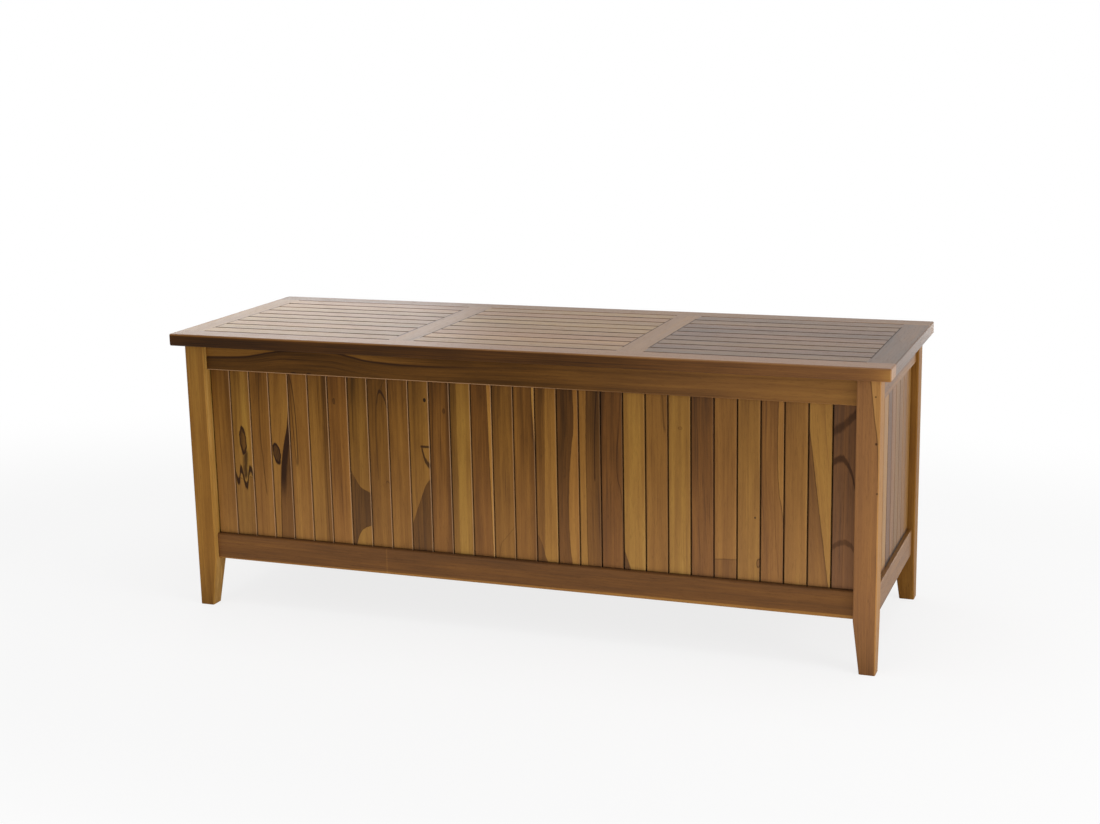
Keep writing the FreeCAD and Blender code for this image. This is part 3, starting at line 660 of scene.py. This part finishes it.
frontRails = {
    # border between pale wood above and dark heart below, through (x, z) points in mm
    "topBorder": [(-686, 543), (-611, 546), (-567, 552), (-532, 559), (-479, 565), (-408, 567),
                  (-377, 564), (-346, 558), (-276, 549), (-196, 547), (-108, 549), (24, 553), (684, 560)],
    "topTones": [(-684, 0.20), (-400, 0.23), (-100, 0.22), (200, 0.31), (684, 0.54)],
    "topKnots": [(-480, 517, 7.0, 4.0), (-445, 518, 6.0, 3.0)],
    "bottomTones": [(-684, 0.34), (-300, 0.30), (100, 0.27), (684, 0.30)],
    # top of the painted highlight strip along the rail's lower edge, lit from the floor, through (x, z)
    # points in mm
    "bottomLitStrip": [(-684, 107.0), (0, 109.5), (684, 111.0)],
    "lidTones": [(-750, 0.10), (-300, 0.12), (100, 0.17), (450, 0.25), (690, 0.35), (750, 0.66)],
    "borderFlow": 0.0008,  # metres that the grain follows the border per mm
    "borderWander": 4.0,  # mm
    "borderEdge": (-1.5, 3.0),
    "borderLine": 3.4,
    # mm along the rail where each begins and is full, and its strength
    "palerLeft": (-100.0, -500.0, 0.24),
    "palerAll": 0.06,
    "lineLeft": (100.0, -300.0, 0.70),
    "lineAll": 0.15,
    # strength of the painted highlight on the lower arris, on the left and everywhere
    "arrisLeft": (300.0, -100.0, 0.55),
    "arrisAll": 0.05,
    # painted sheen on the top rail, growing to the right
    "topSheen": (0.0, 500.0, 0.12),
    "arris": (2.2, 1.2),  # mm over the lower side where the painted arris highlight begins and is full
    "knotEdge": (1.3, 0.6),
    "knotDark": 0.8,
    # painted highlight strip along the bottom rail's lower edge
    "litStripEdge": (1.0, -1.0),
    "litStripTone": 0.66,
    "joint": (-285.0, 2.5, 0.12),  # pale line across the bottom rail: place, half width, strength
    "lidWander": 60.0,
    "lidEndFacing": (-0.4, -0.9),
    "lidEndTone": 0.36,
    "lidTop": (0.590, 0.594),  # height in metres
    "lidTopTone": 0.52,
    # painted sheen on the lid's front rail, growing to the right
    "lidSheen": (100.0, 700.0, 0.14),
    "lidSheenAll": 0.02,
}


def frontTopRailTeak():
    shader = newShader("frontTopRailTeak")
    x, y, z = shader.place()
    rails = frontRails
    length = x * mm
    level = z * mm

    def along(name):
        # The strength of one of the effects that grow along the rail
        begin, full, strength = rails[name]
        return shader.step(length, begin, full) * strength

    border = shader.curve(length, rails["topBorder"])
    grain = woodGrain(shader, z - border * rails["borderFlow"], y, x, 2.0)
    above = level - border - grain["bend"] * rails["borderWander"]
    dark = shader.curve(length, rails["topTones"])
    pale = dark + along("palerLeft") + rails["palerAll"]
    tone = shader.blend(shader.step(above, *rails["borderEdge"]), dark, pale)
    lines = shader.near(above, rails["borderLine"]) * (along("lineLeft") + rails["lineAll"])
    for knotX, knotZ, halfWidth, halfHeight in rails["topKnots"]:
        wide = (length - knotX) / halfWidth
        tall = (level - knotZ) / halfHeight
        knot = shader.step(shader.distance(wide, tall), *rails["knotEdge"]) * rails["knotDark"]
        lines = shader.most(lines, knot)
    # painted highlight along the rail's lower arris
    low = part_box("front_top_rail")[0][2] * mm
    begin, full = rails["arris"]
    arris = shader.step(level, low + begin, low + full) * (along("arrisLeft") + rails["arrisAll"])
    # with the painted highlight on the lower arris and a painted sheen over the rail
    return woodFinish(shader, grain, tone, lines, 0.50, contrast=0.32, ringTone=0.03, light=arris,
                      paintedSheen=along("topSheen"))


def frontBottomRailTeak():
    shader = newShader("frontBottomRailTeak")
    x, y, z = shader.place()
    rails = frontRails
    grain = woodGrain(shader, z, y, x, 3.0)
    length = x * mm
    # painted highlight strip along the lower edge, lit from the floor
    above = z * mm - shader.curve(length, rails["bottomLitStrip"])
    litStrip = shader.step(above, *rails["litStripEdge"])
    place, halfWidth, paler = rails["joint"]
    tone = shader.blend(litStrip, shader.curve(length, rails["bottomTones"]), rails["litStripTone"])
    tone = tone + shader.near(length - place, halfWidth) * paler
    # with a painted sheen over the whole rail
    return woodFinish(shader, grain, tone, red=0.75, contrast=0.28, ringTone=0.03, paintedSheen=0.10)


def lidFrontRailTeak():
    shader = newShader("lidFrontRailTeak")
    x, y, z = shader.place()
    rails = frontRails
    grain = woodGrain(shader, y + z, z - y, x, 29.0)
    length = x * mm
    tone = shader.curve(length + grain["bend"] * rails["lidWander"], rails["lidTones"])
    tone = shader.blend(shader.step(shader.facing()[0], *rails["lidEndFacing"]), tone, rails["lidEndTone"])
    tone = shader.blend(shader.step(z, *rails["lidTop"]), tone, rails["lidTopTone"])
    # painted sheen growing along the rail
    begin, full, strength = rails["lidSheen"]
    paintedSheen = shader.step(length, begin, full) * strength + rails["lidSheenAll"]
    return woodFinish(shader, grain, tone, red=0.9, contrast=0.30, ringTone=0.03, paintedSheen=paintedSheen, lid=True)


dress(frontTopRailTeak(), "front_top_rail")
dress(frontBottomRailTeak(), "front_bottom_rail")
dress(lidFrontRailTeak(), "lid_front_rail")
print("front rails dressed")


# Posts

posts = {
    # right post: border through (height, x) points in mm, pale wood to its right
    "border": [(0, 731), (240, 731), (355, 727), (430, 725), (500, 717), (570, 709)],
    "borderWander": 2.0,
    "borderEdge": (-0.8, 1.0),
    "borderLine": (1.8, 0.6),  # half width in mm, strength
    "farBeyond": 8.0,  # mm beyond the border that the right side counts as
    "rightTones": (0.46, 0.80),
    # x, height and size in mm
    "knots": [(719, 537, 1.6), (722, 449, 2.4), (725, 355, 1.6)],
    "knotEdge": (1.5, 0.6),  # in sizes
    "knotDark": 0.8,
    "leftTone": 0.60,
    # painted highlight on the left post's right side
    "leftHighlightStrip": 0.32,
    "leftBend": 0.2,
    "rearTone": 0.60,
    "rearSpread": 0.10,
}


def rightPostTeak():
    shader = newShader("rightPostTeak")
    x, y, z = shader.place()
    grain = woodGrain(shader, x, y, z, 41.0)
    width = x * mm
    height = z * mm
    beyond = width - shader.curve(height, posts["border"]) + grain["bend"] * posts["borderWander"]
    beyond = shader.blend(rightSide(shader), beyond, posts["farBeyond"])
    tone = shader.blend(shader.step(beyond, *posts["borderEdge"]), *posts["rightTones"])
    halfWidth, strength = posts["borderLine"]
    lines = shader.near(beyond, halfWidth) * strength
    begin, full = posts["knotEdge"]
    for knotX, knotZ, size in posts["knots"]:
        off = shader.distance(width - knotX, height - knotZ)
        lines = shader.most(lines, shader.step(off, size * begin, size * full) * posts["knotDark"])
    # with a painted sheen over the whole post
    return woodFinish(shader, grain, tone, lines, 0.85, contrast=0.34, ringTone=0.03, paintedSheen=0.24)


def leftPostTeak():
    # Its right side, turned to the light, is painted paler as a painted highlight strip beside the slats
    shader = newShader("leftPostTeak")
    x, y, z = shader.place()
    grain = woodGrain(shader, x, y, z, 5.0)
    tone = grain["bend"] * posts["leftBend"] + rightSide(shader) * posts["leftHighlightStrip"] + posts["leftTone"]
    return woodFinish(shader, grain, tone, red=0.6, ringTone=0.03)


dress(rightPostTeak(), "post_front_right")
dress(leftPostTeak(), "post_front_left")
dress(boardTeak("postTeak", "z", posts["rearTone"], posts["rearSpread"], seed=5.0, red=0.7, ringTone=0.03),
      "post_rear_left", "post_rear_right")
print("posts dressed")


# Rest of the wood

otherWood = {
    # material: grain axis, tone, spread, seed, other looks, pieces
    "longRailTeak": ("x", 0.42, 0.12, 2.0, {}, ["rear_top_rail", "rear_bottom_rail"]),
    "cleatTeak": ("x", 0.50, 0.10, 8.0, {}, ["front_floor_cleat", "rear_floor_cleat"]),
    "endRailTeak": ("y", 0.52, 0.10, 4.0, {"red": 0.7, "gloss": "endGloss"},
                    ["left_top_rail", "left_bottom_rail", "right_top_rail", "right_bottom_rail"]),
}
boardRows = {
    # piece: material, axis across the boards, how many and the gap between them in metres, then grain axis,
    # tone, spread, seed, other looks
    "rear_slats": ("rearSlatTeak", "x", 30, 0.0023, "z", 0.48, 0.20, 7.0, {}),
    "left_slats": ("left_slatsTeak", "y", 9, 0.0021, "z", 0.53, 0.16, 13.0,
                   {"gloss": "endGloss", "foot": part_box("left_bottom_rail")[1][2]}),
    "right_slats": ("right_slatsTeak", "y", 9, 0.0021, "z", 0.53, 0.16, 17.0,
                    {"gloss": "endGloss", "foot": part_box("right_bottom_rail")[1][2]}),
    "floor_boards": ("floorTeak", "x", 15, 0.0057, "y", 0.52, 0.16, 23.0, {}),
}
for wood, (grainAxis, tone, spread, seed, looks, pieces) in otherWood.items():
    dress(boardTeak(wood, grainAxis, tone, spread, seed=seed, **looks), *pieces)
for piece, (wood, axis, count, gap, grainAxis, tone, spread, seed, looks) in boardRows.items():
    row = boardsOf(piece, axis, count, gap)
    dress(boardTeak(wood, grainAxis, tone, spread, row, seed, **looks), piece)

lidWood = {
    "calm": {"contrast": 0.26, "ringTone": 0.03, "lid": True},
    "railTone": 0.48,
    "railSpread": 0.06,
    "railSeed": 29.0,
    "stileTones": {1: 0.68, 2: 0.50, 3: 0.52, 4: 0.26},
    "stileSeed": 31.0,
    "joint": 0.0030,  # dark line along a stile, where the slats end
    "jointFull": 0.6,  # share of it that is full dark
    "jointDark": 0.85,
    "jointEnds": (0.060, 0.064),  # metres from the ends of the stile, beside the rails
    "jointTop": (0.004, 0.003),  # metres below the upper side, where it begins
    "slatTones": {1: 0.62, 2: 0.64, 3: 0.36},
    "slatFades": {1: (-0.69, -0.26, 0.28), 2: None, 3: None},
    "slatSpread": 0.05,
    "slatSeeds": {1: 43.0, 2: 49.0, 3: 55.0},
    "slatCount": 9,
    "slatGap": 0.0031,
}


def stileTeak(number):
    # Low contrast wood across the lid, with the dark joints to the slats beside it
    shader = newShader("lidStile%dTeak" % number)
    x, y, z = shader.place()
    low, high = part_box("lid_stile_%d" % number)
    grain = woodGrain(shader, x, z, y, lidWood["stileSeed"] + number)
    begin, full = lidWood["jointTop"]
    top = shader.step(z, high[2] - begin, high[2] - full)
    begin, full = lidWood["jointEnds"]
    within = shader.step(y, low[1] + begin, low[1] + full) * shader.step(y, high[1] - begin, high[1] - full)
    wide = lidWood["joint"]
    core = wide * lidWood["jointFull"]
    joints = []
    if number > 1:
        joints.append(shader.step(x, low[0] + wide, low[0] + core))
    if number < 4:
        joints.append(shader.step(x, high[0] - wide, high[0] - core))
    lines = sum(joints) * top * within * lidWood["jointDark"]
    return woodFinish(shader, grain, lidWood["stileTones"][number], lines, 0.5, **lidWood["calm"])


dress(boardTeak("lidRailTeak", "x", lidWood["railTone"], lidWood["railSpread"], seed=lidWood["railSeed"],
                **lidWood["calm"]), "lid_rear_rail")
for stile in lidWood["stileTones"]:
    dress(stileTeak(stile), "lid_stile_%d" % stile)
for panel, tone in lidWood["slatTones"].items():
    lidSlats = "lid_slats_%d" % panel
    row = boardsOf(lidSlats, "y", lidWood["slatCount"], lidWood["slatGap"])
    dress(boardTeak(lidSlats + "Teak", "x", tone, lidWood["slatSpread"], row, lidWood["slatSeeds"][panel],
                    gaps=lidWood["slatGap"], fade=lidWood["slatFades"][panel], **lidWood["calm"]), lidSlats)
print("wood dressed")


# Metal

metals = {
    "hingeSteel": {"colour": paint(190, 188, 182), "rough": 0.34, "metal": 1.0},
    "bracketSteel": {"colour": paint(176, 176, 174), "rough": 0.38, "metal": 1.0},
    "screwSteel": {"colour": paint(186, 184, 178), "rough": 0.30, "metal": 1.0},
    "strutChrome": {"colour": paint(222, 222, 222), "rough": 0.12, "metal": 1.0},
    "strutPaint": {"colour": paint(30, 30, 31), "rough": 0.42, "metal": 0.0},
}
metalLook = {
    "brushed": (40.0, 900.0),  # noise per metre along X and across it
    "clouds": 60.0,
    "darker": 0.72,
    "cloudRange": (-0.15, 0.25),
    "cloudShare": 0.5,
    "brushedRough": 0.14,
    "cloudRough": 0.16,
    "relief": 0.00003,  # metres
}


def metal(name):
    look = metals[name]
    shader = newShader(name)
    x, y, z = shader.place()
    along, across = metalLook["brushed"]
    clouds = metalLook["clouds"]
    fine = shader.noise(shader.vector(x * along, y * across, z * across), 2.0)
    cloud = shader.noise(shader.vector(x * clouds, y * clouds, z * clouds), 3.0)
    darker = tuple(c * metalLook["darker"] for c in look["colour"][:3]) + (1.0,)
    share = shader.step(cloud, *metalLook["cloudRange"]) * metalLook["cloudShare"]
    colour = shader.mix(share, look["colour"], darker)
    rough = fine * metalLook["brushedRough"] + cloud * metalLook["cloudRough"] + look["rough"]
    bump = shader.bump(fine, metalLook["relief"])
    return shader.output(shader.surface(colour, rough, bump, {"Metallic": look["metal"]}))


dress(metal("hingeSteel"), *[n for n in nodes if n.startswith("hinge_") and "screws" not in n])
dress(metal("bracketSteel"), *[n for n in nodes if n.endswith("_bracket")])
dress(metal("strutChrome"), *[n for n in nodes if n.endswith("_strut_rod")])
dress(metal("strutPaint"), *[n for n in nodes if n.endswith("_strut_cylinder")])
print("metal dressed")


# Screws, each in the place of one of the plain CAD screws

screws = {
    "bodies": {
        "hinge_frame_screws": "root",
        "hinge_lid_screws": "lid",
        "left_post_bracket_screws": "root",
        "right_post_bracket_screws": "root",
        "left_lid_bracket_screws": "lid",
        "right_lid_bracket_screws": "lid",
    },
    "steps": 28,
    "rim": 0.00035,  # bevel round the head
    "clearance": 0.97,  # head radius as a share of the CAD one's, whose corners touch the hole
    "shankShare": 0.5,  # shank radius as a share of the head's
    "coneDepth": 0.0019,
    "armLength": 0.56,  # recess, as shares of the head radius
    "armWidth": 0.13,
    "floorShare": 0.62,
    "recessDepth": 0.0012,
    "merge": 0.00001,  # corners closer than this are one
}


def islandsOf(mesh):
    # The corner places of each separate solid in a mesh
    shape = bmesh.new()
    shape.from_mesh(mesh)
    bmesh.ops.remove_doubles(shape, verts=shape.verts, dist=screws["merge"])
    waiting = set(shape.verts)
    islands = []
    while waiting:
        reached = [waiting.pop()]
        for vert in reached:
            for edge in vert.link_edges:
                other = edge.other_vert(vert)
                if other in waiting:
                    waiting.remove(other)
                    reached.append(other)
        islands.append([vert.co.copy() for vert in reached])
    shape.free()
    return islands


def screwPlace(corners):
    # Middle of the head, direction out of the wood, head radius and length of one CAD screw
    low = Vector([min(c[i] for c in corners) for i in range(3)])
    high = Vector([max(c[i] for c in corners) for i in range(3)])
    size = high - low
    axis = max(range(3), key=lambda i: size[i])
    other = (axis + 1) % 3
    middle = (low + high) / 2
    widest = max(corners, key=lambda c: abs(c[other] - middle[other]))
    outward = Vector((0.0, 0.0, 0.0))
    outward[axis] = 1.0 if widest[axis] > middle[axis] else -1.0
    return middle + outward * size[axis] / 2, outward, size[other] / 2, size[axis]


def crossOutline(reach, width):
    # The corners of the recess, in order round the head
    arm = [Vector((width, width, 0.0)), Vector((reach, width, 0.0)), Vector((reach, -width, 0.0))]
    corners = []
    for quarter in range(4):
        turn = Matrix.Rotation(radians(90.0 * quarter), 3, "Z")
        corners += [turn @ corner for corner in arm]
    return sorted(corners, key=lambda c: c.xy.angle_signed(Vector((1.0, 0.0))))


def ringEdges(shape, verts):
    return [shape.edges.new((verts[i - 1], verts[i])) for i in range(len(verts))]


def addScrew(whole, corners):
    # A turned screw with a cross recess, added to the others of its node
    head, outward, radius, length = screwPlace(corners)
    shape = bmesh.new()
    radius = radius * screws["clearance"]
    rim = screws["rim"]
    shank = radius * screws["shankShare"]
    cone = screws["coneDepth"]
    profile = [(radius - rim, 0.0), (radius, -rim), (shank, -cone), (shank, shank - length), (0.0, -length)]
    points = [shape.verts.new((x, 0.0, z)) for x, z in profile]
    line = [shape.edges.new(pair) for pair in zip(points, points[1:])]
    bmesh.ops.spin(shape, geom=points + line, cent=(0.0, 0.0, 0.0), axis=(0.0, 0.0, 1.0),
                   angle=radians(360.0), steps=screws["steps"], use_merge=True)
    bmesh.ops.remove_doubles(shape, verts=shape.verts, dist=screws["merge"])
    outline = crossOutline(radius * screws["armLength"], radius * screws["armWidth"])
    upper = [shape.verts.new(c) for c in outline]
    share = screws["floorShare"]
    lower = [shape.verts.new((c.x * share, c.y * share, -screws["recessDepth"])) for c in outline]
    mouth = ringEdges(shape, upper)
    bottom = ringEdges(shape, lower)
    for i in range(len(upper)):
        shape.faces.new((upper[i - 1], upper[i], lower[i], lower[i - 1]))
    top = [e for e in shape.edges if e.is_boundary and all(abs(v.co.z) < screws["merge"] for v in e.verts)]
    bmesh.ops.triangle_fill(shape, use_beauty=True, edges=top)
    bmesh.ops.triangle_fill(shape, use_beauty=True, edges=bottom)
    bmesh.ops.recalc_face_normals(shape, faces=shape.faces)
    place = Matrix.Translation(head) @ outward.to_track_quat("Z", "Y").to_matrix().to_4x4()
    bmesh.ops.transform(shape, matrix=place, verts=shape.verts)
    mesh = bpy.data.meshes.new("oneScrew")
    shape.to_mesh(mesh)
    shape.free()
    whole.from_mesh(mesh)
    bpy.data.meshes.remove(mesh)


def makeScrews(steel):
    for node, body in screws["bodies"].items():
        whole = bmesh.new()
        for corners in islandsOf(nodes[node].data):
            addScrew(whole, corners)
        mesh = bpy.data.meshes.new("crossHead_" + node)
        whole.to_mesh(mesh)
        whole.free()
        mesh.materials.append(steel)
        piece = bpy.data.objects.new("crossHead_" + node, mesh)
        bpy.context.collection.objects.link(piece)
        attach(piece, body)
        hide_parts(node)


makeScrews(metal("screwSteel"))
print("screws made")


# Floor, world and lamps

studio = {
    "floorSize": 60.0,
    "floorColour": (0.9, 0.9, 0.9, 1.0),
    "nearWhite": 0.80,  # share of plain white that the camera sees in the floor by the chest
    "whiteFrom": 0.9,  # metres from the middle, where the floor begins to turn plain white
    "whiteAt": 1.9,
    "oval": 0.4,  # weight of the distance along the chest in that
    "ambient": 0.42,
    # place, aimed at, width and height in metres, watts. The bounce lies in the floor and shines up.
    "lamps": {
        "overhead": ((0.0, -0.2, 3.2), (0.0, 0.0, 0.4), 3.2, 2.4, 34.0),
        "front": ((-1.2, -3.8, 1.3), (0.0, 0.0, 0.3), 2.6, 1.8, 17.0),
        "bounce": ((0.1, -0.64, 0.002), (0.1, -0.64, 1.0), 2.0, 0.6, 5.0),
        "rearLeft": ((-3.1, 3.3, 1.3), (-0.6, 0.0, 0.6), 2.8, 1.4, 19.0),
        "right": ((3.3, -1.0, 1.0), (0.5, 0.0, 0.3), 1.8, 1.6, 52.0),
        "rearLow": ((0.9, 3.4, 0.35), (0.4, 0.0, 0.3), 3.0, 0.5, 16.0),
    },
}


def whiteRays(shader):
    # 1 for rays that look at the backdrop, directly or in a gloss, and 0 for the rays that light the object
    seen = [shader.add("ShaderNodeLightPath", out=key) for key in
            ("Is Camera Ray", "Is Glossy Ray", "Is Transmission Ray")]
    return shader.most(shader.most(seen[0], seen[1]), seen[2])


def makeFloor():
    mesh = bpy.data.meshes.new("floor")
    shape = bmesh.new()
    bmesh.ops.create_grid(shape, x_segments=1, y_segments=1, size=studio["floorSize"] / 2)
    shape.to_mesh(mesh)
    shape.free()
    floor = bpy.data.objects.new("floor", mesh)
    bpy.context.collection.objects.link(floor)
    shader = newShader("floorWhite")
    x, y, z = shader.place()
    away = shader.math("SQRT", x * x * studio["oval"] + y * y)
    plain = shader.step(away, studio["whiteFrom"], studio["whiteAt"])
    shown = whiteRays(shader) * shader.blend(plain, studio["nearWhite"], 1.0)
    lit = shader.add("ShaderNodeBsdfDiffuse", {}, {"Color": studio["floorColour"]})
    white = shader.add("ShaderNodeEmission", {}, {"Color": (1.0, 1.0, 1.0, 1.0), "Strength": 1.0})
    surface = shader.add("ShaderNodeMixShader", {}, {0: shown, 1: lit, 2: white})
    shader.add("ShaderNodeOutputMaterial", {}, {0: surface})
    mesh.materials.append(shader.owner)


def makeWorld():
    world = bpy.data.worlds.new("world")
    bpy.context.scene.world = world
    shader = Shader(world)
    level = whiteRays(shader) * (1.0 - studio["ambient"]) + studio["ambient"]
    sky = shader.add("ShaderNodeBackground", {}, {"Color": (1.0, 1.0, 1.0, 1.0), "Strength": level})
    shader.add("ShaderNodeOutputWorld", {}, {0: sky})


def makeLamps():
    for name, (place, target, wide, tall, watts) in studio["lamps"].items():
        lamp = bpy.data.lights.new(name, "AREA")
        lamp.shape = "RECTANGLE"
        lamp.size = wide
        lamp.size_y = tall
        lamp.energy = watts
        holder = bpy.data.objects.new(name, lamp)
        holder.location = place
        aim = Vector(target) - Vector(place)
        holder.rotation_euler = aim.to_track_quat("-Z", "Y").to_euler()
        holder.visible_camera = False
        bpy.context.collection.objects.link(holder)


makeFloor()
makeWorld()
makeLamps()
print("stage made")


# Camera

shot = {
    "place": (1.2584, -3.3739, 1.2202),
    "yaw": 20.492,  # degrees to the left of straight ahead
    "pitch": -12.593,
    "roll": -1.175,
    "focalPixels": 1760.7,
    "framePixels": 1100.0,
    "sensor": 36.0,
}


def makeCamera():
    yaw = radians(shot["yaw"])
    pitch = radians(shot["pitch"])
    roll = radians(shot["roll"])
    ahead = Vector((-sin(yaw) * cos(pitch), cos(yaw) * cos(pitch), sin(pitch)))
    right = Vector((cos(yaw), sin(yaw), 0.0))
    up = right.cross(ahead)
    rolledRight = right * cos(roll) + up * sin(roll)
    rolledUp = up * cos(roll) - right * sin(roll)
    lens = bpy.data.cameras.new("camera")
    lens.sensor_width = shot["sensor"]
    lens.lens = shot["focalPixels"] * shot["sensor"] / shot["framePixels"]
    camera = bpy.data.objects.new("camera", lens)
    turn = Matrix((rolledRight, rolledUp, -ahead)).transposed()
    camera.matrix_world = Matrix.Translation(shot["place"]) @ turn.to_4x4()
    bpy.context.collection.objects.link(camera)
    bpy.context.scene.camera = camera
    bpy.context.scene.view_settings.view_transform = "Standard"


makeCamera()
print("camera made")
